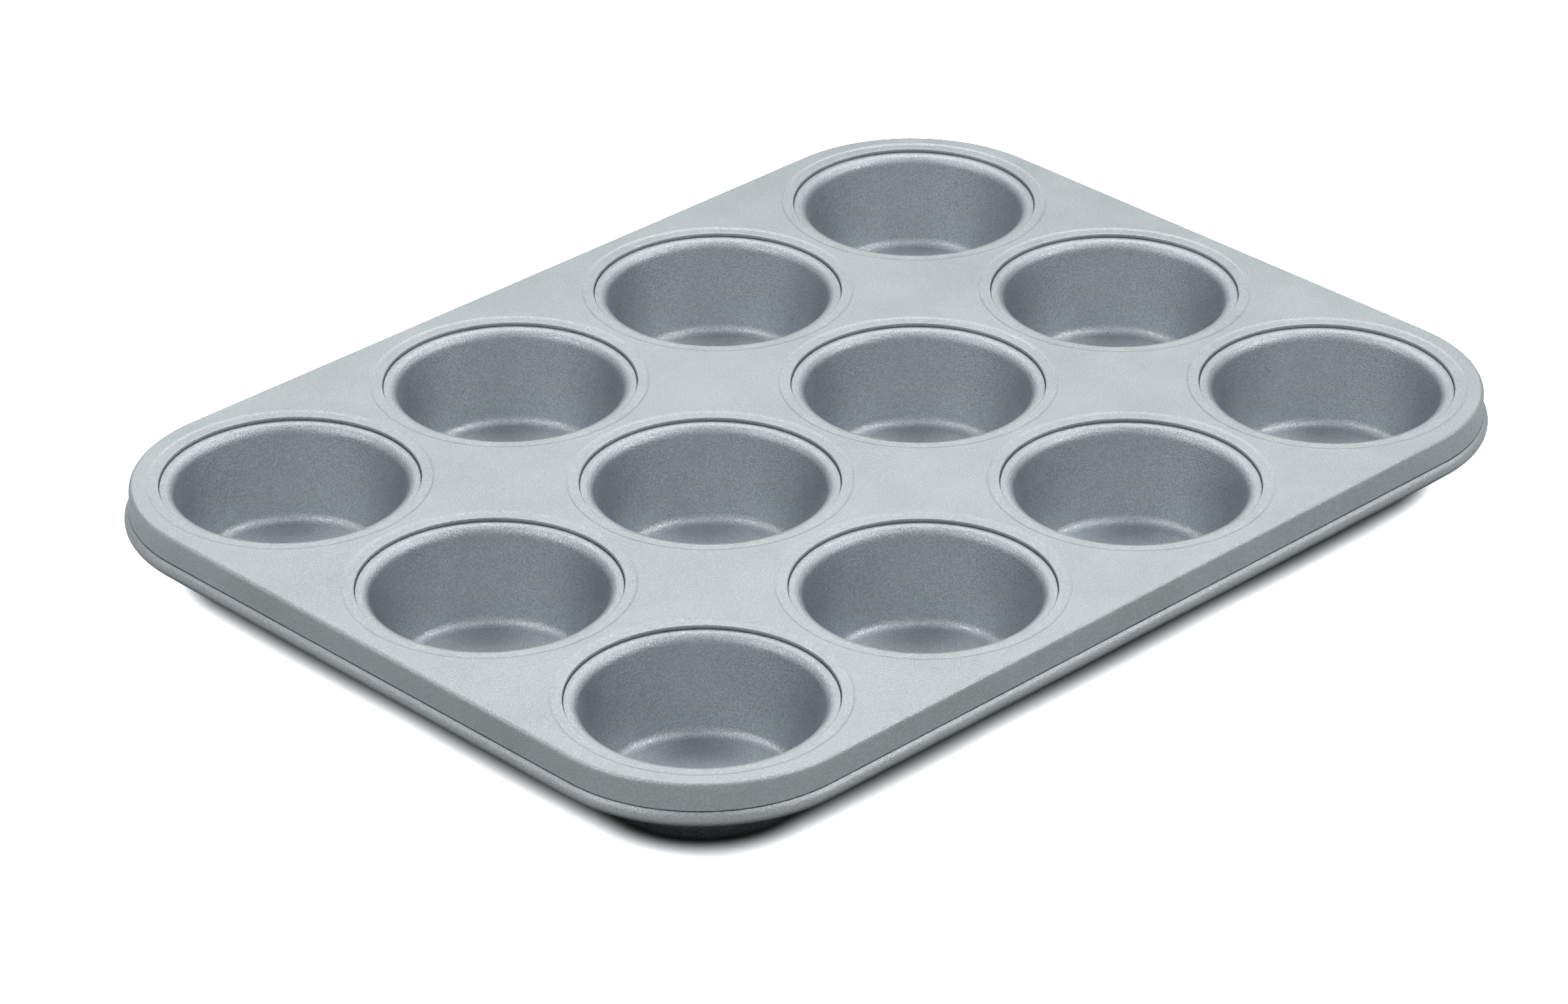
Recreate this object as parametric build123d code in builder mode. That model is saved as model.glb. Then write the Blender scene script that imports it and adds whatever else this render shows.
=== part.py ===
from build123d import *
import os
from math import acos, atan2, degrees, hypot

# A seamed muffin tin: one pressed top plate, twelve drawn cups lock-seamed into its holes, and a steel
# wire rolled into its rim. Millimetres, +Z up, mouths of the cups up. The origin is on the table, under
# the middle of the tin. X runs along the long side.

# Layout of the cups
COLUMNS = 4
ROWS = 3
HOLE_RADIUS = 37.4  # hole in the top plate, to the upright face of its collar
WEB_WIDTH = 9.8  # plate left between two neighbouring holes
EDGE_MARGIN = 9.2  # from an outer hole to the bend line of the skirt
CORNER_RADIUS = 48.4  # plan radius of the bend line at the four corners

# Heights
TIN_HEIGHT = 29.5  # table to the top face of the plate
RING_DEPTH = 0.25  # the ring round each hole lies this far below the plate's top face
LIP_DEPTH = 1.05  # the top of a cup's lip lies this far below the ring

# Top plate
PLATE_THICKNESS = 0.5
RING_WIDTH = 3.0  # from the hole to the step round the ring
RING_STEP_RUN = 0.8  # plan width of that step
RING_STEP_RADIUS = 1.0  # its two bends, on the top face
RING_LAND = 0.5  # flat plate outside the step that is made with the ring
HOLE_BEND_RADIUS = 0.55  # outer radius of the folds above and below the collar
COLLAR_DROP = 3.0  # ring's top face to the underside of the locking flange

# Skirt and rolled rim
SKIRT_BEND_RADIUS = 1.3  # outer radius of the bend from the top into the skirt
FLAT_MARGIN = 2.6  # flat strip inside that bend that is made with the skirt
SKIRT_DROP = 8.5  # top face of the plate to the ledge over the wire
SKIRT_FLARE = 0.35  # how far the skirt leans out over that drop
LEDGE_BEND_RADIUS = 0.8  # outer radius of the bend from the skirt into the ledge
ROLL_INSET = 1.05  # from the foot of the skirt in to the middle of the wire
ROLL_GAP = 0.16  # open line between the raw edge of the sheet and the foot of the skirt
WIRE_DIAMETER = 3.8
WIRE_CLEARANCE = 0.05  # between the wire and the sheet rolled round it

# Cups
CUP_THICKNESS = 0.45
CUP_MOUTH_RADIUS = 33.7  # line of the inner wall, carried up to the top of the lip
CUP_BASE_RADIUS = 27.8  # line of the inner wall, carried down to the ring round the floor
FLOOR_RING_WIDTH = 2.4  # sloping ring between the flat floor and the wall, in plan
FLOOR_RING_RISE = 0.55  # how far that ring climbs
FLOOR_EDGE_RADIUS = 0.9  # inner radius of the crease between the flat floor and the ring
FLOOR_FILLET_RADIUS = 3.0  # inner radius between the ring and the wall
LIP_RADIUS = 3.1  # radius over the lip, from the wall to its flat top

# Lock seam between plate and cup
SEAM_CLEARANCE = 0.1  # between cup sheet and plate sheet all through the seam
SEAM_SPACING = 1.2  # left between the seams of neighbouring cups
HOOK_BEND_RADIUS = 0.3  # inner radius of the two bends of the cup's hook
HOOK_LAP = 1.8  # how far the hook laps back over the locking flange

os.makedirs("parts", exist_ok=True)

# Worked out from the sizes above
pitch = 2 * HOLE_RADIUS + WEB_WIDTH
plate_length = (COLUMNS - 1) * pitch + 2 * (HOLE_RADIUS + EDGE_MARGIN)
plate_width = (ROWS - 1) * pitch + 2 * (HOLE_RADIUS + EDGE_MARGIN)
ring_radius = HOLE_RADIUS + RING_WIDTH
step_radius = ring_radius + RING_STEP_RUN
land_radius = step_radius + RING_LAND
ring_top = TIN_HEIGHT - RING_DEPTH
lip_top = ring_top - LIP_DEPTH

flange_underside = ring_top - COLLAR_DROP
flange_top = flange_underside + PLATE_THICKNESS
seam_radius = HOLE_RADIUS + (WEB_WIDTH - SEAM_SPACING) / 2
hook_inner_radius = seam_radius - CUP_THICKNESS
flange_radius = hook_inner_radius - HOOK_BEND_RADIUS
neck_radius = HOLE_RADIUS - SEAM_CLEARANCE
seam_bend_radius = HOLE_BEND_RADIUS + SEAM_CLEARANCE

wire_radius = WIRE_DIAMETER / 2
roll_inner_radius = wire_radius + WIRE_CLEARANCE
roll_outer_radius = roll_inner_radius + PLATE_THICKNESS
wire_offset = SKIRT_FLARE - ROLL_INSET
ledge_height = TIN_HEIGHT - SKIRT_DROP
wire_height = ledge_height - roll_inner_radius
flat_inset = FLAT_MARGIN + SKIRT_BEND_RADIUS

# The raw edge stops ROLL_GAP short of the bend between skirt and ledge
bend_run = SKIRT_FLARE - LEDGE_BEND_RADIUS - wire_offset
bend_rise = roll_inner_radius + LEDGE_BEND_RADIUS
bend_span = hypot(bend_run, bend_rise)
edge_reach = LEDGE_BEND_RADIUS + ROLL_GAP
edge_sides = bend_span**2 + roll_outer_radius**2 - edge_reach**2
edge_turn = acos(edge_sides / (2 * bend_span * roll_outer_radius))
raw_edge_angle = degrees(atan2(bend_rise, bend_run) - edge_turn)


def sheet_section(points, radii, thickness, side):
    """Closed section of bent sheet: a line of its visible face, with the metal on one side of it."""
    with BuildSketch() as section:
        with BuildLine():
            FilletPolyline(*points, radius=radii)
            offset(amount=thickness, side=side)
        make_face()
    return section.sketch


def rim_section():
    """Skirt, ledge and the roll round the wire. X is measured outwards from the bend line."""
    skirt = sheet_section(
        [
            (-flat_inset, TIN_HEIGHT),
            (0, TIN_HEIGHT),
            (SKIRT_FLARE, ledge_height),
            (wire_offset, ledge_height),
        ],
        (SKIRT_BEND_RADIUS, LEDGE_BEND_RADIUS),
        PLATE_THICKNESS,
        Side.RIGHT,
    )
    with BuildSketch() as section:
        add(skirt)
        with BuildLine():
            inner = CenterArc((wire_offset, wire_height), roll_inner_radius, 90, 270 + raw_edge_angle)
            outer = CenterArc((wire_offset, wire_height), roll_outer_radius, 90, 270 + raw_edge_angle)
            Line(inner @ 0, outer @ 0)
            Line(inner @ 1, outer @ 1)
        make_face()
    return section.sketch


def rim_path(outset, height):
    """Closed path round the tin, at a height and a distance outside the bend line."""
    half_length = plate_length / 2 + outset
    half_width = plate_width / 2 + outset
    with BuildLine(Plane.XY.offset(height)) as path:
        FilletPolyline(
            (half_length, 0),
            (half_length, half_width),
            (0, half_width),
            radius=CORNER_RADIUS + outset,
        )
        mirror(about=Plane.YZ)
        mirror(about=Plane.XZ)
    return path.wire()


def collar_section():
    """Ring round a hole, its collar and the locking flange. X is measured from the axis of the cup."""
    return sheet_section(
        [
            (land_radius, TIN_HEIGHT),
            (step_radius, TIN_HEIGHT),
            (ring_radius, ring_top),
            (HOLE_RADIUS, ring_top),
            (HOLE_RADIUS, flange_underside),
            (flange_radius, flange_underside),
        ],
        (RING_STEP_RADIUS, RING_STEP_RADIUS, HOLE_BEND_RADIUS, HOLE_BEND_RADIUS),
        PLATE_THICKNESS,
        Side.LEFT,
    )


def cup_section():
    """Floor, wall, lip, neck and hook of a cup. X is measured from the axis of the cup."""
    under_flange = flange_underside - SEAM_CLEARANCE
    over_flange = flange_top + SEAM_CLEARANCE
    foot_radius = neck_radius + 2 * seam_bend_radius
    hook_outer_bend = HOOK_BEND_RADIUS + CUP_THICKNESS
    bowl = sheet_section(
        [
            (0, CUP_THICKNESS),
            (CUP_BASE_RADIUS - FLOOR_RING_WIDTH, CUP_THICKNESS),
            (CUP_BASE_RADIUS, CUP_THICKNESS + FLOOR_RING_RISE),
            (CUP_MOUTH_RADIUS, lip_top),
            (neck_radius, lip_top),
            (neck_radius, under_flange),
            (foot_radius, under_flange),
        ],
        (
            FLOOR_EDGE_RADIUS,
            FLOOR_FILLET_RADIUS,
            LIP_RADIUS,
            HOLE_BEND_RADIUS,
            seam_bend_radius,
        ),
        CUP_THICKNESS,
        Side.RIGHT,
    )
    hook = sheet_section(
        [
            (foot_radius, under_flange - CUP_THICKNESS),
            (seam_radius, under_flange - CUP_THICKNESS),
            (seam_radius, over_flange + CUP_THICKNESS),
            (seam_radius - HOOK_LAP, over_flange + CUP_THICKNESS),
        ],
        (hook_outer_bend, hook_outer_bend),
        CUP_THICKNESS,
        Side.LEFT,
    )
    with BuildSketch() as section:
        add(bowl)
        add(hook)
    return section.sketch


# Collar: made once about its own axis, then set into every hole of the plate
with BuildPart() as collar:
    with BuildSketch(Plane.XZ):
        add(collar_section())
    revolve(axis=Axis.Z)

# Top plate: flat sheet with a hole for every cup, the collars, and the skirt with its rolled rim
with BuildPart() as top_plate:
    with BuildSketch(Plane.XY.offset(TIN_HEIGHT - PLATE_THICKNESS)):
        RectangleRounded(
            plate_length - 2 * flat_inset,
            plate_width - 2 * flat_inset,
            CORNER_RADIUS - flat_inset,
        )
        with GridLocations(pitch, pitch, COLUMNS, ROWS):
            Circle(land_radius, mode=Mode.SUBTRACT)
    extrude(amount=PLATE_THICKNESS)
    with BuildSketch(Plane.XZ):
        with Locations((plate_length / 2, 0)):
            add(rim_section())
    sweep(path=rim_path(0, 0))
    with GridLocations(pitch, pitch, COLUMNS, ROWS):
        add(collar.part)
top_plate.part.label = "top_plate"
export_step(top_plate.part, "parts/top_plate.step")

# Rim wire: one closed loop inside the roll, which stiffens the edge
with BuildPart() as rim_wire:
    with BuildSketch(Plane.XZ):
        with Locations((plate_length / 2 + wire_offset, wire_height)):
            Circle(wire_radius)
    sweep(path=rim_path(wire_offset, wire_height))
rim_wire.part.label = "rim_wire"
export_step(rim_wire.part, "parts/rim_wire.step")

# Cup: drawn once about its own axis
with BuildPart() as cup:
    with BuildSketch(Plane.XZ):
        add(cup_section())
    revolve(axis=Axis.Z)

# Twelve separate cups, counted from the corner at -X and -Y
for row in range(ROWS):
    for column in range(COLUMNS):
        cup_x = (column - (COLUMNS - 1) / 2) * pitch
        cup_y = (row - (ROWS - 1) / 2) * pitch
        with BuildPart() as placed_cup:
            with Locations((cup_x, cup_y, 0)):
                add(cup.part)
        placed_cup.part.label = f"cup_{column + 1}_{row + 1}"
        export_step(placed_cup.part, f"parts/{placed_cup.part.label}.step")
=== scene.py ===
from math import acos, atan2, cos, hypot, pi, radians, sin, tan

import bmesh
import bpy
from mathutils import Matrix, Vector


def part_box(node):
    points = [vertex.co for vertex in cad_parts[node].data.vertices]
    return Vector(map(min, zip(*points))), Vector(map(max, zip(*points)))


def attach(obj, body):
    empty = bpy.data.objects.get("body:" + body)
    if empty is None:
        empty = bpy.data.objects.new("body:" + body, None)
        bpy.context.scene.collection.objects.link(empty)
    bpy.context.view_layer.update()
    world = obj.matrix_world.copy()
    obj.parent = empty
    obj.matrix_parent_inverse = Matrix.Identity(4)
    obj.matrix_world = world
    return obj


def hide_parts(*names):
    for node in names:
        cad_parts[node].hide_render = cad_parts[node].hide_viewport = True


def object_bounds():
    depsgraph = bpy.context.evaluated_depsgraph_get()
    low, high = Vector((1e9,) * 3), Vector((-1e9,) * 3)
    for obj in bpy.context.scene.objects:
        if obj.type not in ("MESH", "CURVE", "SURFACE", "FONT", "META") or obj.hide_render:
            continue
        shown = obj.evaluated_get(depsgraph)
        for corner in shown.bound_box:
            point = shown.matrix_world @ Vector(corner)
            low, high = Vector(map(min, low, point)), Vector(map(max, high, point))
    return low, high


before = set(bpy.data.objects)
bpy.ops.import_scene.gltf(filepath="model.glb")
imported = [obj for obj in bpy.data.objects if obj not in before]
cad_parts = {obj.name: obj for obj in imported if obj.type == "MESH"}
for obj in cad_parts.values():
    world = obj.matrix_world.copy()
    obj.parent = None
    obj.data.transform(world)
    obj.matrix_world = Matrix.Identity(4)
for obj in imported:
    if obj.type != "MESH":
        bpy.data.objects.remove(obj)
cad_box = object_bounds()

# A seamed muffin tin: pressed top plate, twelve drawn cups locked into it, and a wired, rolled rim.
# Metres, +Z up, origin on the table under the middle of the tin. Sections are drawn as (distance from
# the axis or from the bend line, height above the table) in millimetres, and scaled by MM.
MM = 0.001

# Layout, read from the frame
COLUMNS = 4
ROWS = 3


def middle(node):
    """Centre of a CAD node's box, in millimetres."""
    low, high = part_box(node)
    return (low + high) / 2 / MM


PITCH = middle("cup_2_1").x - middle("cup_1_1").x
TIN_HEIGHT = cad_box[1].z / MM
ROLL_LENGTH = (cad_box[1].x - cad_box[0].x) / MM
ROLL_WIDTH = (cad_box[1].y - cad_box[0].y) / MM

# Top plate
HOLE_RADIUS = 37.4
PLATE_THICKNESS = 0.5
RING_DEPTH = 0.25
RING_WIDTH = 3.0
RING_STEP_RUN = 0.8
RING_STEP_RADIUS = 1.0
RING_LAND = 0.5
FOLD_RADIUS = 0.55
COATED_FOLD_RADIUS = 0.3  # the coat fills the folds beside the seam to this radius
COLLAR_DROP = 3.0

# Skirt and rolled rim
CORNER_RADIUS = 48.4
SKIRT_BEND_RADIUS = 1.3
FLAT_MARGIN = 2.6
SKIRT_DROP = 8.5
SKIRT_FLARE = 0.35
LEDGE_BEND_RADIUS = 0.8
ROLL_INSET = 1.05
ROLL_GAP = 0.16
WIRE_DIAMETER = 3.8
WIRE_CLEARANCE = 0.05

# Cups and their lock seam
LIP_DEPTH = 1.05
CUP_THICKNESS = 0.45
CUP_MOUTH_RADIUS = 33.7
CUP_BASE_RADIUS = 27.8
FLOOR_RING_WIDTH = 2.4
FLOOR_RING_RISE = 0.55
FLOOR_EDGE_RADIUS = 0.9
FLOOR_FILLET_RADIUS = 3.0
LIP_RADIUS = 3.1
SEAM_CLEARANCE = 0.1
SEAM_SPACING = 1.2
HOOK_BEND_RADIUS = 0.3
HOOK_LAP = 1.8

# Fineness of the meshes
HOLE_STEPS = 96
CUP_STEPS = 120
CORNER_STEPS = 26
FINE_BEND_STEPS = 5
BROAD_BEND_STEPS = 10
ROLL_STEPS = 30
WIRE_STEPS = 24
GUARD = 0.12  # a flat starts this far beyond a bend, so that its shading stays flat
WELD = 1e-6  # metres
SHARP_ANGLE = radians(40)

# Which side of its shown face the metal of a sheet lies on
METAL_LEFT = 1
METAL_RIGHT = -1

CUP_TURN_SEED = 11  # of the random turn that each cup's mesh is given about its axis

# Colours of the coat and the wire, and of the painted shade in the seams, linear
PLATE_LIGHT = (0.68, 0.735, 0.75, 1)
PLATE_DARK = (0.52, 0.56, 0.575, 1)
CUP_LIGHT = (0.745, 0.79, 0.83, 1)
CUP_DARK = (0.495, 0.535, 0.565, 1)
# painted shade: the dark grey that the seam gaps between plate and cups are coloured, standing in for
# the shade there
PAINTED_SEAM_SHADE = (0.16, 0.17, 0.175, 1)
STEEL_LIGHT = (0.56, 0.57, 0.58, 1)
STEEL_DARK = (0.34, 0.35, 0.36, 1)

# Roughness, at the low and the high end of the clouds' range
PLATE_ROUGHNESS = (0.37, 0.45)
CUP_ROUGHNESS = (0.35, 0.43)
WIRE_ROUGHNESS = (0.26, 0.45)

# Noise: scales, and the part of its range that is used
FLAKE_SCALE = 1900.0
FLAKE_RANGE = (0.34, 0.66)
CLOUD_SCALE = 42.0
CLOUD_RANGE = (0.3, 0.7)
PLATE_WAVE_SCALE = 14.0
CUP_WAVE_SCALE = 30.0
BLOOM_SCALE = 90.0
BLOOM_RANGE = (0.35, 0.65)
ROLLING_SCALES = (25.0, 900.0, 900.0)
WIRE_LINE_SCALES = (900.0, 900.0, 2400.0)

# Shares in the tone: of flakes against clouds, and of a cup's streaks against its clouds
PLATE_FLAKE_SHARE = 0.7
CUP_FLAKE_SHARE = 0.75
CUP_STREAK_SHARE = 0.25

# Bumps, as (height in metres, strength)
FLAKE_BUMP = (0.11 * MM, 0.6)
PLATE_WAVE_BUMP = (0.0016, 0.35)
CUP_WAVE_BUMP = (0.0008, 0.3)
ROLLING_BUMP = (0.00002, 0.15)
DRAWING_BUMP = (0.00006, 0.3)
WIRE_LINE_BUMP = (0.00003, 0.4)

# Camera
CAMERA_AZIMUTH = radians(-44.48)
CAMERA_ELEVATION = radians(29.04)
CAMERA_ROLL = radians(-0.13)
CAMERA_DISTANCE = 1.718
CAMERA_TARGET = Vector((-0.0365, -0.0240, 0.0292))
CAMERA_LENS = 139.56
CAMERA_SENSOR = 36.0

# Lights: name, azimuth and elevation in degrees, distance and size in metres, power
SOFTBOXES = (
    ("left_light", -111, 46, 1.5, (0.22, 0.8), 3.1),
    ("right_light", 39, 46, 1.5, (0.34, 0.8), 4.0),
    ("back_light", 135.5, 52, 1.0, (1.2, 0.5), 3.3),
)

# Floor: its colours as the tin reflects them, and how white it shows, with painted shadow near the tin
FLOOR_NEAR = (0.62, 0.625, 0.63, 1)
FLOOR_FAR = (0.70, 0.71, 0.72, 1)
# painted shadow: what the floor under the tin is coloured in the tin's reflections
FLOOR_PAINTED_SHADOW = (0.05, 0.055, 0.055, 1)
FLOOR_DEPTHS = (-0.3, 0.5)  # metres, where it is as FLOOR_NEAR and as FLOOR_FAR
FLOOR_HALF_WIDTH = 6.0  # metres
SHADE_DEPTH = 20.0  # the painted shadow on the floor is darkest this far inside the tin's outline
SHADE_FADE = 8.0  # and shows white again this far inside it
SHADE_REACH = 40.0  # its shade dims what the tin reflects this far outside it
SHADE_WHITE = 0.14
FLOOR_WHITE = 9.0

# Room, as the tin reflects it
ROOM_DARK = 0.36
ROOM_TINT = (0.97, 0.985, 1.0, 1)
SWEEP_LIGHT = 0.47
SWEEP_START = 0.1  # the sweep begins at this cosine of the angle from straight behind the tin
SWEEP_FULL = 0.75  # and is full at this one
SWEEP_CLIMBS = (radians(40), radians(62))  # it darkens again between these angles above the horizon

# Worked out from the sizes above
ring_radius = HOLE_RADIUS + RING_WIDTH
step_radius = ring_radius + RING_STEP_RUN
land_radius = step_radius + RING_LAND
ring_top = TIN_HEIGHT - RING_DEPTH
lip_top = ring_top - LIP_DEPTH
flange_underside = ring_top - COLLAR_DROP
web_width = PITCH - 2 * HOLE_RADIUS
seam_radius = HOLE_RADIUS + (web_width - SEAM_SPACING) / 2
flange_radius = seam_radius - CUP_THICKNESS - HOOK_BEND_RADIUS
neck_radius = HOLE_RADIUS - SEAM_CLEARANCE
seam_bend_radius = FOLD_RADIUS + SEAM_CLEARANCE

wire_radius = WIRE_DIAMETER / 2
roll_inner_radius = wire_radius + WIRE_CLEARANCE
roll_outer_radius = roll_inner_radius + PLATE_THICKNESS
wire_offset = SKIRT_FLARE - ROLL_INSET
ledge_height = TIN_HEIGHT - SKIRT_DROP
wire_height = ledge_height - roll_inner_radius
flat_inset = FLAT_MARGIN + SKIRT_BEND_RADIUS
bend_length = ROLL_LENGTH - 2 * (wire_offset + roll_outer_radius)
bend_width = ROLL_WIDTH - 2 * (wire_offset + roll_outer_radius)

# The raw edge stops ROLL_GAP short of the bend between skirt and ledge
bend_run = SKIRT_FLARE - LEDGE_BEND_RADIUS - wire_offset
bend_rise = roll_inner_radius + LEDGE_BEND_RADIUS
bend_span = hypot(bend_run, bend_rise)
edge_reach = LEDGE_BEND_RADIUS + ROLL_GAP
edge_sides = bend_span**2 + roll_outer_radius**2 - edge_reach**2
edge_turn = acos(edge_sides / (2 * bend_span * roll_outer_radius))
raw_edge_angle = atan2(bend_rise, bend_run) - edge_turn


# ---------------------------------------------------------------- sections of the sheet


def left_of(direction):
    return Vector((-direction.y, direction.x))


def turned(direction, angle):
    return Vector(
        (
            direction.x * cos(angle) - direction.y * sin(angle),
            direction.x * sin(angle) + direction.y * cos(angle),
        )
    )


def bent_line(points, radii, steps, thickness, side):
    """Both faces of bent sheet, as (shown spot, hidden spot) pairs.

    The shown face has straight runs joined by arcs, and each run has a guard pair beside each bend.
    Inside a fold that is tighter than the sheet is thick, the hidden face comes to a plain corner.
    """
    corners = [Vector(p) for p in points]
    pairs = []

    def mark(spot, direction, hidden=None):
        if hidden is None:
            hidden = spot + left_of(direction) * side * thickness
        pairs.append((spot, hidden))

    mark(corners[0], (corners[1] - corners[0]).normalized())
    for i in range(1, len(corners) - 1):
        into = (corners[i] - corners[i - 1]).normalized()
        out = (corners[i + 1] - corners[i]).normalized()
        turn = atan2(into.x * out.y - into.y * out.x, into.dot(out))
        bend = 1 if turn > 0 else -1
        radius = radii[i - 1]
        back = radius * tan(abs(turn) / 2)
        centre = corners[i] - into * back + left_of(into) * bend * radius
        tight = bend == side and radius < thickness
        slope = (left_of(into) + left_of(out)).normalized()
        corner = corners[i] + slope * side * thickness / cos(turn / 2)
        clear = thickness * tan(abs(turn) / 2) if tight else back
        mark(corners[i] - into * (clear + GUARD), into)
        for k in range(steps[i - 1] + 1):
            direction = turned(into, turn * k / steps[i - 1])
            spot = centre - left_of(direction) * bend * radius
            mark(spot, direction, corner if tight else None)
        mark(corners[i] + out * (clear + GUARD), out)
    mark(corners[-1], (corners[-1] - corners[-2]).normalized())
    return pairs


def open_strip(pairs):
    """Outline of bent sheet: out along its hidden face and back along its shown one."""
    shown = [spot for spot, _ in pairs]
    hidden = [spot for _, spot in pairs]
    return hidden + shown[::-1]


def rim_section():
    """Skirt, ledge and the roll round the wire, measured outwards from the flat top's edge."""
    pairs = bent_line(
        [
            (-flat_inset, TIN_HEIGHT),
            (0, TIN_HEIGHT),
            (SKIRT_FLARE, ledge_height),
            (wire_offset + GUARD, ledge_height),
        ],
        (SKIRT_BEND_RADIUS, LEDGE_BEND_RADIUS),
        (BROAD_BEND_STEPS, BROAD_BEND_STEPS),
        PLATE_THICKNESS,
        METAL_RIGHT,
    )
    wire_centre = Vector((wire_offset, wire_height))
    start = pi / 2
    sweep = 3 * pi / 2 + raw_edge_angle
    for k in range(ROLL_STEPS + 1):
        angle = start + sweep * k / ROLL_STEPS
        outward = Vector((cos(angle), sin(angle)))
        inner_spot = wire_centre + outward * roll_inner_radius
        outer_spot = wire_centre + outward * roll_outer_radius
        pairs.append((inner_spot, outer_spot))
    return [spot + Vector((flat_inset, 0)) for spot in open_strip(pairs)]


def collar_section():
    """Ring round a hole, its collar and the locking flange, measured from the flat's edge."""
    pairs = bent_line(
        [
            (land_radius, TIN_HEIGHT),
            (step_radius, TIN_HEIGHT),
            (ring_radius, ring_top),
            (HOLE_RADIUS, ring_top),
            (HOLE_RADIUS, flange_underside),
            (flange_radius, flange_underside),
        ],
        (RING_STEP_RADIUS, RING_STEP_RADIUS, COATED_FOLD_RADIUS, FOLD_RADIUS),
        (FINE_BEND_STEPS,) * 4,
        PLATE_THICKNESS,
        METAL_LEFT,
    )
    return [spot - Vector((land_radius, 0)) for spot in open_strip(pairs)]


def cup_section():
    """Floor, wall, lip, neck and hook of a cup, measured from its axis."""
    under_flange = flange_underside - SEAM_CLEARANCE
    over_flange = flange_underside + PLATE_THICKNESS + SEAM_CLEARANCE
    hook_inner_radius = seam_radius - CUP_THICKNESS
    pairs = bent_line(
        [
            (0, CUP_THICKNESS),
            (CUP_BASE_RADIUS - FLOOR_RING_WIDTH, CUP_THICKNESS),
            (CUP_BASE_RADIUS, CUP_THICKNESS + FLOOR_RING_RISE),
            (CUP_MOUTH_RADIUS, lip_top),
            (neck_radius, lip_top),
            (neck_radius, under_flange),
            (hook_inner_radius, under_flange),
            (hook_inner_radius, over_flange),
            (seam_radius - HOOK_LAP, over_flange),
        ],
        (
            FLOOR_EDGE_RADIUS,
            FLOOR_FILLET_RADIUS,
            LIP_RADIUS,
            COATED_FOLD_RADIUS,
            seam_bend_radius,
            HOOK_BEND_RADIUS,
            HOOK_BEND_RADIUS,
        ),
        (
            FINE_BEND_STEPS,
            BROAD_BEND_STEPS,
            BROAD_BEND_STEPS,
            FINE_BEND_STEPS,
            FINE_BEND_STEPS,
            FINE_BEND_STEPS,
            FINE_BEND_STEPS,
        ),
        CUP_THICKNESS,
        METAL_RIGHT,
    )
    return open_strip(pairs)


def wire_section():
    """The wire's round section, measured from the loop that it follows."""
    steps = [2 * pi * k / WIRE_STEPS for k in range(WIRE_STEPS)]
    return [Vector((wire_radius * cos(a), wire_height + wire_radius * sin(a))) for a in steps]


def section_curve(name, spots, closed=False):
    """A section as a flat curve. Swept anticlockwise, its X points outwards and its Y points down."""
    curve = bpy.data.curves.new(name, "CURVE")
    curve.dimensions = "3D"
    spline = curve.splines.new("POLY")
    spline.points.add(len(spots) - 1)
    for point, spot in zip(spline.points, spots):
        point.co = (spot.x * MM, -spot.y * MM, 0, 1)
    spline.use_cyclic_u = closed
    made = bpy.data.objects.new(name, curve)
    bpy.context.scene.collection.objects.link(made)
    return made


# ---------------------------------------------------------------- geometry node trees


class Nodes:
    """The nodes of a tree, added and linked with short calls."""

    def __init__(self, graph):
        self.graph = graph

    def node(self, kind, inputs=None, **settings):
        made = self.graph.nodes.new(kind)
        for key, value in settings.items():
            setattr(made, key, value)
        for key, value in (inputs or {}).items():
            self.feed(made.inputs[key], value)
        return made

    def feed(self, socket, value):
        if isinstance(value, bpy.types.NodeSocket):
            self.graph.links.new(value, socket)
        else:
            socket.default_value = value

    def math(self, operation, a, b=0.0):
        made = self.node("ShaderNodeMath", operation=operation)
        self.feed(made.inputs[0], a)
        self.feed(made.inputs[1], b)
        return made.outputs[0]


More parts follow.
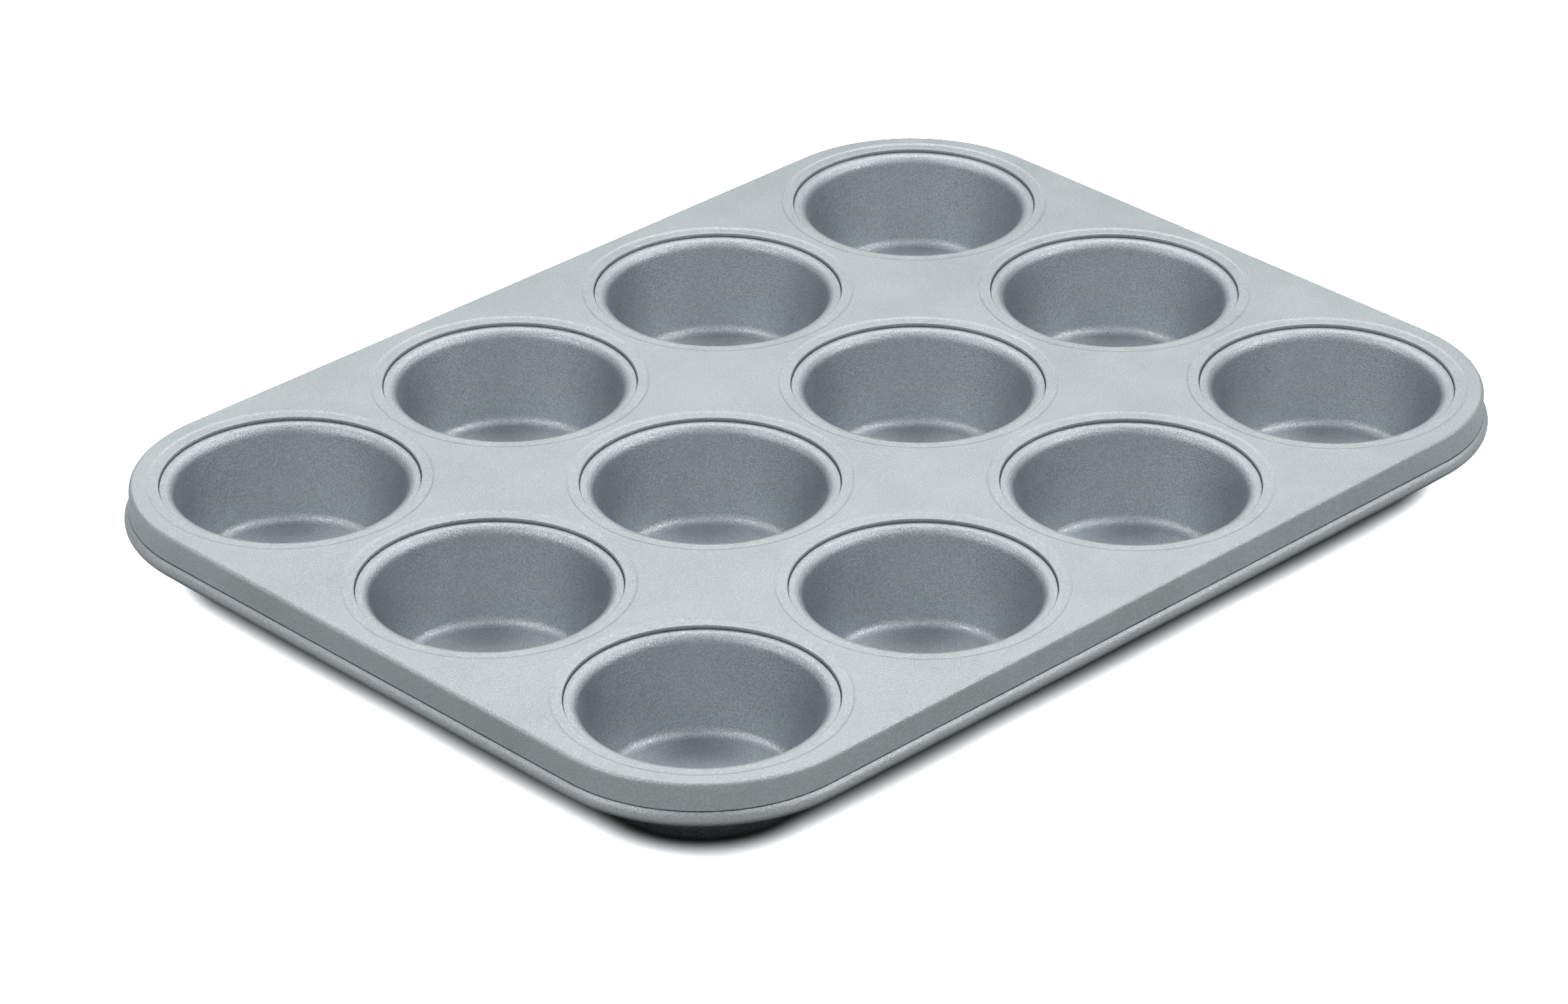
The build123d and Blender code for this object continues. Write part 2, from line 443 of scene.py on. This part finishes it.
class Tree(Nodes):
    """A geometry node tree under construction, with named inputs."""

    def __init__(self, name):
        super().__init__(bpy.data.node_groups.new(name, "GeometryNodeTree"))
        for way in ("INPUT", "OUTPUT"):
            self.graph.interface.new_socket("Geometry", in_out=way, socket_type="NodeSocketGeometry")
        self.start = self.node("NodeGroupInput")
        self.end = self.node("NodeGroupOutput")

    def input(self, name, kind):
        self.graph.interface.new_socket(name, in_out="INPUT", socket_type="NodeSocket" + kind)
        return self.start.outputs[name]

    def joined(self, *parts):
        made = self.node("GeometryNodeJoinGeometry")
        for part in parts:
            self.feed(made.inputs[0], part)
        return made.outputs[0]

    def level(self, curve):
        """The curve with its normals level, so that a section swept along it stays upright."""
        return self.node("GeometryNodeSetCurveNormal", {"Curve": curve}, mode="Z_UP").outputs[0]

    def loop(self, length, width, radius, steps):
        """Rounded rectangle, anticlockwise."""
        sides = {"Width": length, "Height": width}
        outline = self.node("GeometryNodeCurvePrimitiveQuadrilateral", sides).outputs[0]
        rounding = {"Curve": outline, "Radius": radius, "Count": steps}
        return self.level(self.node("GeometryNodeFilletCurve", rounding, mode="POLY").outputs[0])

    def ring(self, radius, steps):
        sizes = {"Resolution": steps, "Radius": radius}
        return self.level(self.node("GeometryNodeCurvePrimitiveCircle", sizes).outputs[0])

    def at_points(self, points, instance, **more):
        inputs = {"Points": points, "Instance": instance, **more}
        return self.node("GeometryNodeInstanceOnPoints", inputs).outputs[0]

    def realized(self, instances):
        return self.node("GeometryNodeRealizeInstances", {"Geometry": instances}).outputs[0]

    def swept(self, path, section):
        inputs = {"Curve": path, "Profile Curve": section}
        return self.node("GeometryNodeCurveToMesh", inputs).outputs[0]

    def cup_centres(self, columns, rows, pitch):
        return self.node(
            "GeometryNodeMeshGrid",
            {
                "Size X": self.math("MULTIPLY", self.math("SUBTRACT", columns, 1.0), pitch),
                "Size Y": self.math("MULTIPLY", self.math("SUBTRACT", rows, 1.0), pitch),
                "Vertices X": columns,
                "Vertices Y": rows,
            },
        ).outputs["Mesh"]

    def raised(self, geometry, height):
        place = self.node("ShaderNodeCombineXYZ", {"Z": height}).outputs[0]
        inputs = {"Geometry": geometry, "Translation": place}
        return self.node("GeometryNodeTransform", inputs).outputs[0]

    def finished(self, geometry, material):
        inputs = {"Geometry": self.realized(geometry), "Distance": WELD}
        welded = self.node("GeometryNodeMergeByDistance", inputs).outputs[0]
        painted = self.node("GeometryNodeSetMaterial", {"Geometry": welded, "Material": material})
        self.feed(self.end.inputs[0], painted.outputs[0])


def swept_loop_tree():
    """A section carried round a rounded rectangle."""
    tree = Tree("swept_loop")
    path = tree.loop(
        tree.input("Length", "Float"),
        tree.input("Width", "Float"),
        tree.input("Corner Radius", "Float"),
        tree.input("Corner Steps", "Int"),
    )
    tree.finished(tree.swept(path, tree.start.outputs["Geometry"]), tree.input("Finish", "Material"))
    return tree.graph


def plate_tree():
    """Flat sheet with a collar in every hole, and its edge swept round as skirt and roll."""
    tree = Tree("pressed_plate")
    columns = tree.input("Columns", "Int")
    rows = tree.input("Rows", "Int")
    pitch = tree.input("Pitch", "Float")
    edge = tree.loop(
        tree.input("Flat Length", "Float"),
        tree.input("Flat Width", "Float"),
        tree.input("Corner Radius", "Float"),
        tree.input("Corner Steps", "Int"),
    )
    ring = tree.ring(tree.input("Land Radius", "Float"), tree.input("Hole Steps", "Int"))
    collar = tree.node("GeometryNodeObjectInfo", {"Object": tree.input("Collar Section", "Object")})
    collar_mesh = tree.swept(ring, collar.outputs["Geometry"])
    centres = tree.cup_centres(columns, rows, pitch)
    collars = tree.at_points(centres, collar_mesh)
    holes = tree.realized(tree.at_points(centres, ring))
    flat = tree.node("GeometryNodeFillCurve", {"Curve": tree.joined(edge, holes)}).outputs[0]
    upper = tree.raised(flat, tree.input("Top Height", "Float"))
    lower = tree.raised(flat, tree.input("Underside Height", "Float"))
    rim = tree.swept(edge, tree.start.outputs["Geometry"])
    tree.finished(tree.joined(rim, collars, upper, lower), tree.input("Finish", "Material"))
    return tree.graph


def cup_tree():
    """A section turned about its axis and set at one of the cup centres, turned by a random amount."""
    tree = Tree("drawn_cup")
    columns = tree.input("Columns", "Int")
    rows = tree.input("Rows", "Int")
    centres = tree.cup_centres(columns, rows, tree.input("Pitch", "Float"))
    ring = tree.ring(tree.input("Lathe Radius", "Float"), tree.input("Steps", "Int"))
    cup = tree.swept(ring, tree.start.outputs["Geometry"])
    index = tree.node("GeometryNodeInputIndex").outputs[0]
    chosen = tree.node("FunctionNodeCompare", data_type="INT", operation="EQUAL")
    tree.feed(chosen.inputs[2], index)
    tree.feed(chosen.inputs[3], tree.input("Which", "Int"))
    seed = tree.input("Seed", "Int")
    turn = tree.node("FunctionNodeRandomValue", {"Seed": seed}, data_type="FLOAT")
    tree.feed(turn.inputs[3], 2 * pi)
    rotation = tree.node("ShaderNodeCombineXYZ", {"Z": turn.outputs[1]}).outputs[0]
    placed = tree.at_points(centres, cup, Selection=chosen.outputs[0], Rotation=rotation)
    tree.finished(placed, tree.input("Finish", "Material"))
    return tree.graph


def made_by(tree, section, name, inputs):
    """Runs a tree on a section and returns the plain mesh object that comes out, faces outward."""
    modifier = section.modifiers.new("made", "NODES")
    modifier.node_group = tree
    for item in tree.interface.items_tree:
        if item.item_type == "SOCKET" and item.in_out == "INPUT" and item.name in inputs:
            modifier[item.identifier] = inputs[item.name]
    shaped = section.evaluated_get(bpy.context.evaluated_depsgraph_get())
    mesh = bpy.data.meshes.new_from_object(shaped)
    section.modifiers.remove(modifier)
    mesh.name = name
    work = bmesh.new()
    work.from_mesh(mesh)
    bmesh.ops.recalc_face_normals(work, faces=work.faces)
    # That call can leave a closed piece inside out, and its volume is then negative
    if work.calc_volume(signed=True) < 0:
        bmesh.ops.reverse_faces(work, faces=work.faces)
    work.to_mesh(mesh)
    work.free()
    mesh.shade_smooth()
    mesh.set_sharp_from_angle(angle=SHARP_ANGLE)
    piece = bpy.data.objects.new(name, mesh)
    bpy.context.scene.collection.objects.link(piece)
    return piece


# ---------------------------------------------------------------- shader groups


class Shader(Nodes):
    """The nodes of a material, a world or a shader group."""

    def __init__(self, graph):
        super().__init__(graph)
        self.graph.nodes.clear()

    def band(self, value, low, high, to_low=0.0, to_high=1.0):
        """Smooth ramp of a value from one range to another."""
        made = self.node("ShaderNodeMapRange", interpolation_type="SMOOTHSTEP")
        sources = (value, low, high, to_low, to_high)
        for socket, source in zip(made.inputs, sources):
            self.feed(socket, source)
        return made.outputs[0]

    def mix(self, amount, a, b):
        made = self.node("ShaderNodeMix", data_type="RGBA")
        self.feed(made.inputs[0], amount)
        self.feed(made.inputs[6], a)
        self.feed(made.inputs[7], b)
        return made.outputs[2]

    def mix_values(self, amount, a, b):
        made = self.node("ShaderNodeMix", data_type="FLOAT")
        self.feed(made.inputs[0], amount)
        self.feed(made.inputs[2], a)
        self.feed(made.inputs[3], b)
        return made.outputs[0]

    def scaled(self, vector, factors):
        made = self.node("ShaderNodeVectorMath", operation="MULTIPLY")
        self.feed(made.inputs[0], vector)
        self.feed(made.inputs[1], factors)
        return made.outputs[0]

    def noise(self, vector, scale, detail=3.0, roughness=0.55):
        return self.node(
            "ShaderNodeTexNoise",
            {"Vector": vector, "Scale": scale, "Detail": detail, "Roughness": roughness},
        ).outputs["Fac"]


def shader_group(name, inputs, outputs):
    """An empty shader group with its sockets, as (Shader, input sockets, output sockets)."""
    group = bpy.data.node_groups.new(name, "ShaderNodeTree")
    for socket, kind in inputs:
        group.interface.new_socket(socket, in_out="INPUT", socket_type="NodeSocket" + kind)
    for socket, kind in outputs:
        group.interface.new_socket(socket, in_out="OUTPUT", socket_type="NodeSocket" + kind)
    nodes = Shader(group)
    start = nodes.node("NodeGroupInput")
    end = nodes.node("NodeGroupOutput")
    return nodes, start.outputs, end.inputs


def cup_place_group():
    """Where a point lies in its own cup, that cup's number, and whether the point is among the cups."""
    nodes, start, end = shader_group(
        "cup_place",
        [("Vector", "Vector")],
        [("Radius", "Float"), ("Around", "Vector"), ("Cup Number", "Float"), ("Among Cups", "Float")],
    )
    across = nodes.node("ShaderNodeSeparateXYZ", {"Vector": start["Vector"]})
    lines, local, among = [], [], []
    for axis, count in (("X", COLUMNS), ("Y", ROWS)):
        line = nodes.math("ADD", nodes.math("DIVIDE", across.outputs[axis], PITCH * MM), count / 2)
        offset = nodes.math("SUBTRACT", nodes.math("FRACT", line), 0.5)
        reach = nodes.math("ABSOLUTE", across.outputs[axis])
        lines.append(line)
        local.append(nodes.math("MULTIPLY", offset, PITCH * MM))
        among.append(nodes.math("LESS_THAN", reach, count / 2 * PITCH * MM))
    flat = nodes.node("ShaderNodeCombineXYZ", {"X": local[0], "Y": local[1]}).outputs[0]
    length = nodes.node("ShaderNodeVectorMath", {0: flat}, operation="LENGTH").outputs["Value"]
    around = nodes.node("ShaderNodeVectorMath", {0: flat}, operation="NORMALIZE").outputs[0]
    number = nodes.math(
        "ADD",
        nodes.math("FLOOR", lines[0]),
        nodes.math("MULTIPLY", nodes.math("FLOOR", lines[1]), float(COLUMNS)),
    )
    nodes.feed(end["Among Cups"], nodes.math("MULTIPLY", among[0], among[1]))
    nodes.feed(end["Radius"], length)
    nodes.feed(end["Around"], around)
    nodes.feed(end["Cup Number"], number)
    return nodes.graph


def fine_grain_group():
    """The coat's sparkle of fine flakes, soft clouds in it, and the slow waves of thin sheet."""
    nodes, start, end = shader_group(
        "fine_grain",
        [("Vector", "Vector"), ("Flake Scale", "Float"), ("Wave Scale", "Float")],
        [("Flakes", "Float"), ("Clouds", "Float"), ("Waves", "Float")],
    )
    flakes = nodes.band(nodes.noise(start["Vector"], start["Flake Scale"], 2.0, 0.7), *FLAKE_RANGE)
    clouds = nodes.noise(start["Vector"], CLOUD_SCALE, 4.0, 0.6)
    waves = nodes.noise(start["Vector"], start["Wave Scale"], 1.0, 0.4)
    nodes.feed(end["Flakes"], flakes)
    nodes.feed(end["Clouds"], clouds)
    nodes.feed(end["Waves"], waves)
    return nodes.graph


def new_finish(name):
    """A bare metal material, as (material, its nodes, object coordinates, its shader node)."""
    material = bpy.data.materials.new(name)
    material.use_nodes = True
    nodes = Shader(material.node_tree)
    place = nodes.node("ShaderNodeTexCoord").outputs["Object"]
    shader = nodes.node("ShaderNodeBsdfPrincipled", {"Metallic": 1.0})
    output = nodes.node("ShaderNodeOutputMaterial")
    nodes.feed(output.inputs["Surface"], shader.outputs[0])
    return material, nodes, place, shader


def placed_group(nodes, group, inputs):
    return nodes.node("ShaderNodeGroup", inputs, node_tree=group).outputs


def bumped(nodes, height, bump, normal=None):
    distance, strength = bump
    inputs = {"Height": height, "Distance": distance, "Strength": strength}
    made = nodes.node("ShaderNodeBump", inputs)
    if normal is not None:
        nodes.feed(made.inputs["Normal"], normal)
    return made.outputs[0]


def plate_finish(grain, cup_place):
    """Satin baked coat on the pressed plate, with painted shade down in the seam round each hole."""
    material, nodes, place, shader = new_finish("coated_plate")
    scales = {"Flake Scale": FLAKE_SCALE, "Wave Scale": PLATE_WAVE_SCALE}
    fine = placed_group(nodes, grain, {"Vector": place, **scales})
    where = placed_group(nodes, cup_place, {"Vector": place})
    rolled = nodes.noise(nodes.scaled(place, ROLLING_SCALES), 1.0, 2.0, 0.5)
    clouds = nodes.band(fine["Clouds"], *CLOUD_RANGE)
    tone = nodes.mix_values(PLATE_FLAKE_SHARE, clouds, fine["Flakes"])
    colour = nodes.mix(tone, PLATE_DARK, PLATE_LIGHT)
    height = nodes.node("ShaderNodeSeparateXYZ", {"Vector": place}).outputs["Z"]
    # painted shade: the collar's face down in the seam gap is coloured darker, standing in for the
    # shade between plate and cup
    deep = nodes.band(height, (lip_top - 0.4) * MM, (ring_top - 0.3) * MM, 0.7, 0.0)
    at_hole = nodes.band(where["Radius"], (HOLE_RADIUS + 0.3) * MM, (HOLE_RADIUS + 0.8) * MM, 1.0, 0.0)
    painted_seam_shade = nodes.math("MULTIPLY", nodes.math("MULTIPLY", deep, at_hole), where["Among Cups"])
    nodes.feed(shader.inputs["Base Color"], nodes.mix(painted_seam_shade, colour, PAINTED_SEAM_SHADE))
    roughness = nodes.band(fine["Clouds"], *CLOUD_RANGE, *PLATE_ROUGHNESS)
    nodes.feed(shader.inputs["Roughness"], roughness)
    normal = bumped(nodes, fine["Waves"], PLATE_WAVE_BUMP)
    normal = bumped(nodes, rolled, ROLLING_BUMP, normal)
    normal = bumped(nodes, fine["Flakes"], FLAKE_BUMP, normal)
    nodes.feed(shader.inputs["Normal"], normal)
    return material


def cup_finish(grain, cup_place):
    """The same coat on the drawn cups, with drawing marks down the walls and painted shade in the seam
    at the neck.
    """
    material, nodes, place, shader = new_finish("coated_cup")
    scales = {"Flake Scale": FLAKE_SCALE, "Wave Scale": CUP_WAVE_SCALE}
    fine = placed_group(nodes, grain, {"Vector": place, **scales})
    where = placed_group(nodes, cup_place, {"Vector": place})
    height = nodes.node("ShaderNodeSeparateXYZ", {"Vector": place}).outputs["Z"]
    around = nodes.node("ShaderNodeSeparateXYZ", {"Vector": where["Around"]})
    wall_place = nodes.node(
        "ShaderNodeCombineXYZ",
        {
            "X": around.outputs["X"],
            "Y": around.outputs["Y"],
            "Z": nodes.math("ADD", nodes.math("MULTIPLY", height, 12.0), where["Cup Number"]),
        },
    ).outputs[0]
    drawn = nodes.noise(wall_place, 22.0, 3.0, 0.6)
    streaks = nodes.noise(wall_place, 3.2, 2.0, 0.5)
    clouds = nodes.band(fine["Clouds"], *CLOUD_RANGE)
    broad = nodes.mix_values(CUP_STREAK_SHARE, clouds, nodes.band(streaks, *CLOUD_RANGE))
    tone = nodes.mix_values(CUP_FLAKE_SHARE, broad, fine["Flakes"])
    lip_from, lip_to = CUP_MOUTH_RADIUS + 0.2, CUP_MOUTH_RADIUS + 2.2
    lip = nodes.band(where["Radius"], lip_from * MM, lip_to * MM)
    dark = nodes.mix(lip, CUP_DARK, PLATE_DARK)
    light = nodes.mix(lip, CUP_LIGHT, PLATE_LIGHT)
    colour = nodes.mix(tone, dark, light)
    # painted shade: the neck down in the seam gap is coloured darker, standing in for the shade between
    # cup and plate
    at_neck = nodes.band(where["Radius"], (neck_radius - 0.3) * MM, neck_radius * MM)
    deep = nodes.band(height, (lip_top - 0.9) * MM, (lip_top - 0.2) * MM, 1.0, 0.0)
    painted_seam_shade = nodes.math("MULTIPLY", at_neck, deep)
    nodes.feed(shader.inputs["Base Color"], nodes.mix(painted_seam_shade, colour, PAINTED_SEAM_SHADE))
    roughness = nodes.band(fine["Clouds"], *CLOUD_RANGE, *CUP_ROUGHNESS)
    nodes.feed(shader.inputs["Roughness"], roughness)
    normal = bumped(nodes, fine["Waves"], CUP_WAVE_BUMP)
    normal = bumped(nodes, drawn, DRAWING_BUMP, normal)
    normal = bumped(nodes, fine["Flakes"], FLAKE_BUMP, normal)
    nodes.feed(shader.inputs["Normal"], normal)
    return material


def wire_finish():
    """Bright drawn wire, with its drawing lines and a little dull bloom."""
    material, nodes, place, shader = new_finish("wire_steel")
    lines = nodes.noise(nodes.scaled(place, WIRE_LINE_SCALES), 1.0, 2.0, 0.5)
    bloom = nodes.noise(place, BLOOM_SCALE, 4.0, 0.6)
    colour = nodes.mix(nodes.band(bloom, *BLOOM_RANGE), STEEL_LIGHT, STEEL_DARK)
    nodes.feed(shader.inputs["Base Color"], colour)
    nodes.feed(shader.inputs["Roughness"], nodes.band(bloom, *CLOUD_RANGE, *WIRE_ROUGHNESS))
    nodes.feed(shader.inputs["Normal"], bumped(nodes, lines, WIRE_LINE_BUMP))
    return material


# ---------------------------------------------------------------- pieces of the tin

place_in_cup = cup_place_group()
coat_grain = fine_grain_group()
plate_coat = plate_finish(coat_grain, place_in_cup)
cup_coat = cup_finish(coat_grain, place_in_cup)
wire_metal = wire_finish()

rim = section_curve("rim_section", rim_section())
collar = section_curve("collar_section", collar_section())
cup = section_curve("cup_section", cup_section())
wire = section_curve("wire_section", wire_section(), closed=True)

plate = made_by(
    plate_tree(),
    rim,
    "pressed_plate",
    {
        "Columns": COLUMNS,
        "Rows": ROWS,
        "Pitch": PITCH * MM,
        "Flat Length": (bend_length - 2 * flat_inset) * MM,
        "Flat Width": (bend_width - 2 * flat_inset) * MM,
        "Corner Radius": (CORNER_RADIUS - flat_inset) * MM,
        "Corner Steps": CORNER_STEPS,
        "Land Radius": land_radius * MM,
        "Hole Steps": HOLE_STEPS,
        "Collar Section": collar,
        "Top Height": TIN_HEIGHT * MM,
        "Underside Height": (TIN_HEIGHT - PLATE_THICKNESS) * MM,
        "Finish": plate_coat,
    },
)
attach(plate, "root")
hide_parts("top_plate")

loop = made_by(
    swept_loop_tree(),
    wire,
    "wire_loop",
    {
        "Length": (bend_length + 2 * wire_offset) * MM,
        "Width": (bend_width + 2 * wire_offset) * MM,
        "Corner Radius": (CORNER_RADIUS + wire_offset) * MM,
        "Corner Steps": CORNER_STEPS,
        "Finish": wire_metal,
    },
)
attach(loop, "root")
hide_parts("rim_wire")

# A cup's section is carried round a circle as wide as its neck, so it is measured from there
for spline_point in cup.data.splines[0].points:
    spline_point.co.x -= neck_radius * MM
turned_cups = cup_tree()
for column in range(COLUMNS):
    for row in range(ROWS):
        piece = made_by(
            turned_cups,
            cup,
            f"drawn_cup_{column + 1}_{row + 1}",
            {
                "Columns": COLUMNS,
                "Rows": ROWS,
                "Pitch": PITCH * MM,
                "Lathe Radius": neck_radius * MM,
                "Steps": CUP_STEPS,
                "Which": column * ROWS + row,
                "Seed": CUP_TURN_SEED,
                "Finish": cup_coat,
            },
        )
        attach(piece, "root")
        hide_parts(f"cup_{column + 1}_{row + 1}")

for section in (rim, collar, cup, wire):
    bpy.data.objects.remove(section)


# ---------------------------------------------------------------- camera, floor and light


def seen_from(azimuth, elevation, distance):
    """Offset of a camera or light from its target. Azimuth 0 is on the -Y side, 90 on the +X side."""
    level = cos(elevation)
    return Vector((sin(azimuth) * level, -cos(azimuth) * level, sin(elevation))) * distance


def aimed(offset, roll=0.0):
    return (-offset).to_track_quat("-Z", "Y").to_matrix() @ Matrix.Rotation(roll, 3, "Z")


def add_camera():
    data = bpy.data.cameras.new("camera")
    data.sensor_width = CAMERA_SENSOR
    data.lens = CAMERA_LENS
    data.clip_start = 0.05
    data.clip_end = 20.0
    camera = bpy.data.objects.new("camera", data)
    offset = seen_from(CAMERA_AZIMUTH, CAMERA_ELEVATION, CAMERA_DISTANCE)
    turn = aimed(offset, CAMERA_ROLL).to_4x4()
    camera.matrix_world = Matrix.Translation(CAMERA_TARGET + offset) @ turn
    bpy.context.scene.collection.objects.link(camera)
    bpy.context.scene.camera = camera


def add_softbox(name, azimuth, elevation, distance, size, power):
    data = bpy.data.lights.new(name, "AREA")
    data.shape = "RECTANGLE"
    data.size, data.size_y = size
    data.energy = power
    light = bpy.data.objects.new(name, data)
    offset = seen_from(radians(azimuth), radians(elevation), distance)
    light.matrix_world = Matrix.Translation(offset) @ aimed(offset).to_4x4()
    bpy.context.scene.collection.objects.link(light)


def by_ray(nodes, output_kind, felt, seen):
    """Gives an output what the camera sees, and everything else what the tin reflects."""
    ray = nodes.node("ShaderNodeLightPath").outputs["Is Camera Ray"]
    mixed = nodes.node("ShaderNodeMixShader", {0: ray, 1: felt.outputs[0], 2: seen.outputs[0]})
    nodes.feed(nodes.node(output_kind).inputs["Surface"], mixed.outputs[0])


def add_floor():
    """Pale floor, which shows white but reflects in the tin as grey, with painted light making it
    lighter behind the tin. Both what it shows and what the tin reflects carry a painted shadow near the
    tin.
    """
    material = bpy.data.materials.new("pale_floor")
    material.use_nodes = True
    nodes = Shader(material.node_tree)
    spot = nodes.node("ShaderNodeTexCoord").outputs["Object"]
    place = nodes.node("ShaderNodeSeparateXYZ", {"Vector": spot})
    depth = nodes.math("ADD", place.outputs["X"], place.outputs["Y"])
    # painted light: the floor as the tin reflects it is lighter behind the tin, towards the lit sweep
    grey = nodes.mix(nodes.band(depth, *FLOOR_DEPTHS), FLOOR_NEAR, FLOOR_FAR)
    corner = (bend_length / 2 - CORNER_RADIUS, bend_width / 2 - CORNER_RADIUS)
    beyond = []
    for axis, reach in zip("XY", corner):
        distance = nodes.math("ABSOLUTE", place.outputs[axis])
        beyond.append(nodes.math("MAXIMUM", nodes.math("SUBTRACT", distance, reach * MM), 0.0))
    reached = nodes.node("ShaderNodeCombineXYZ", {"X": beyond[0], "Y": beyond[1]}).outputs[0]
    length = nodes.node("ShaderNodeVectorMath", {0: reached}, operation="LENGTH").outputs["Value"]
    outside = nodes.math("SUBTRACT", length, CORNER_RADIUS * MM)
    # painted shadow: the floor that the camera sees is coloured dark inside the tin's outline and white
    # beyond it
    fade = (-SHADE_DEPTH * MM, -SHADE_FADE * MM)
    whiteness = nodes.band(outside, *fade, SHADE_WHITE, FLOOR_WHITE)
    # painted shadow: the floor as the tin reflects it is darkened under the tin and a little beyond its
    # outline
    painted_shadow = nodes.band(outside, -SHADE_DEPTH * MM, SHADE_REACH * MM, 1.0, 0.0)
    channels = {"Red": whiteness, "Green": whiteness, "Blue": whiteness}
    shown = nodes.node("ShaderNodeCombineColor", channels).outputs[0]
    seen = nodes.node("ShaderNodeBsdfDiffuse", {"Color": shown})
    felt = nodes.node("ShaderNodeBsdfDiffuse", {"Color": nodes.mix(painted_shadow, grey, FLOOR_PAINTED_SHADOW)})
    by_ray(nodes, "ShaderNodeOutputMaterial", felt, seen)
    mesh = bpy.data.meshes.new("floor")
    half = FLOOR_HALF_WIDTH
    corners = [(-half, -half, 0), (half, -half, 0), (half, half, 0), (-half, half, 0)]
    mesh.from_pydata(corners, [], [(0, 1, 2, 3)])
    mesh.materials.append(material)
    floor = bpy.data.objects.new("floor", mesh)
    bpy.context.scene.collection.objects.link(floor)


def add_room():
    """White sweep behind the tin and a darker room in front of it. The camera sees plain white."""
    world = bpy.data.worlds.new("room")
    world.use_nodes = True
    nodes = Shader(world.node_tree)
    way = nodes.node("ShaderNodeTexCoord").outputs["Generated"]
    away = (sin(-CAMERA_AZIMUTH), cos(CAMERA_AZIMUTH), 0)
    dot = nodes.node("ShaderNodeVectorMath", {0: way, 1: away}, operation="DOT_PRODUCT")
    climb = nodes.node("ShaderNodeSeparateXYZ", {"Vector": way}).outputs["Z"]
    climbs = [sin(angle) for angle in SWEEP_CLIMBS]
    light = nodes.band(climb, *climbs, SWEEP_LIGHT, ROOM_DARK)
    sweep = nodes.band(dot.outputs["Value"], SWEEP_START, SWEEP_FULL, ROOM_DARK, light)
    felt = nodes.node("ShaderNodeBackground", {"Color": ROOM_TINT, "Strength": sweep})
    seen = nodes.node("ShaderNodeBackground", {"Color": (1, 1, 1, 1)})
    by_ray(nodes, "ShaderNodeOutputWorld", felt, seen)
    bpy.context.scene.world = world


add_camera()
add_floor()
add_room()
for softbox in SOFTBOXES:
    add_softbox(*softbox)

bpy.context.scene.view_settings.view_transform = "Standard"
